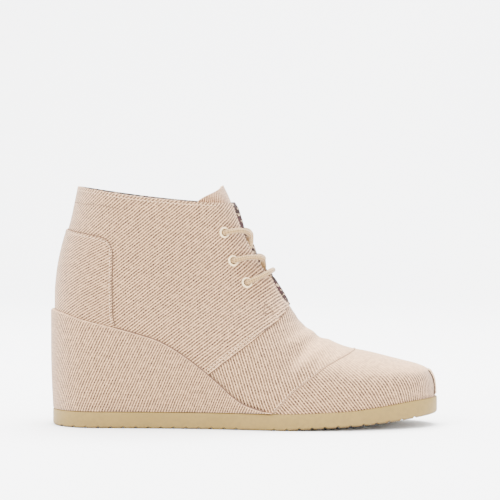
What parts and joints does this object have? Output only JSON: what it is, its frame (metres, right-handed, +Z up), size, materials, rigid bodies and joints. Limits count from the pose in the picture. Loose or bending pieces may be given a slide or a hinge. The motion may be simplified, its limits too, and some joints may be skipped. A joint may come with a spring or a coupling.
{
  "type": "wedge ankle boot",
  "caption": "Right-foot lace-up ankle boot of twill fabric on a covered wedge heel with a flat rubber sole, throat open over a tongue.",
  "frame": {"origin": "on the floor under the middle of the boot's outline", "axes": "+X towards the toe, +Z up, the outer side of the foot faces -Y"},
  "size_m": [0.2399, 0.0857, 0.1483],
  "materials": {
    "upper_fabric": "cream and tan twill weave, matte",
    "wedge_fabric": "cream and tan twill weave, matte",
    "sole_rubber": "sand-coloured rubber, smooth matte sides",
    "insole_fabric": "dark woven lining, matte",
    "eyelet_paint": "cream paint, satin",
    "lace_cord": "round braided cord, matte"
  },
  "bodies": {
    "root": {"upper": "upper_fabric", "heel_counter": "upper_fabric", "toe_strip": "upper_fabric", "tongue": "upper_fabric", "wedge": "wedge_fabric", "outsole": "sole_rubber", "insole": "insole_fabric", "eyelet_lateral_1": "eyelet_paint", "eyelet_lateral_2": "eyelet_paint", "eyelet_lateral_3": "eyelet_paint", "eyelet_medial_1": "eyelet_paint", "eyelet_medial_2": "eyelet_paint", "eyelet_medial_3": "eyelet_paint", "lace_bar": "lace_cord", "lace_crossing_lower": "lace_cord", "lace_crossing_upper": "lace_cord"}
  },
  "joints": []
}
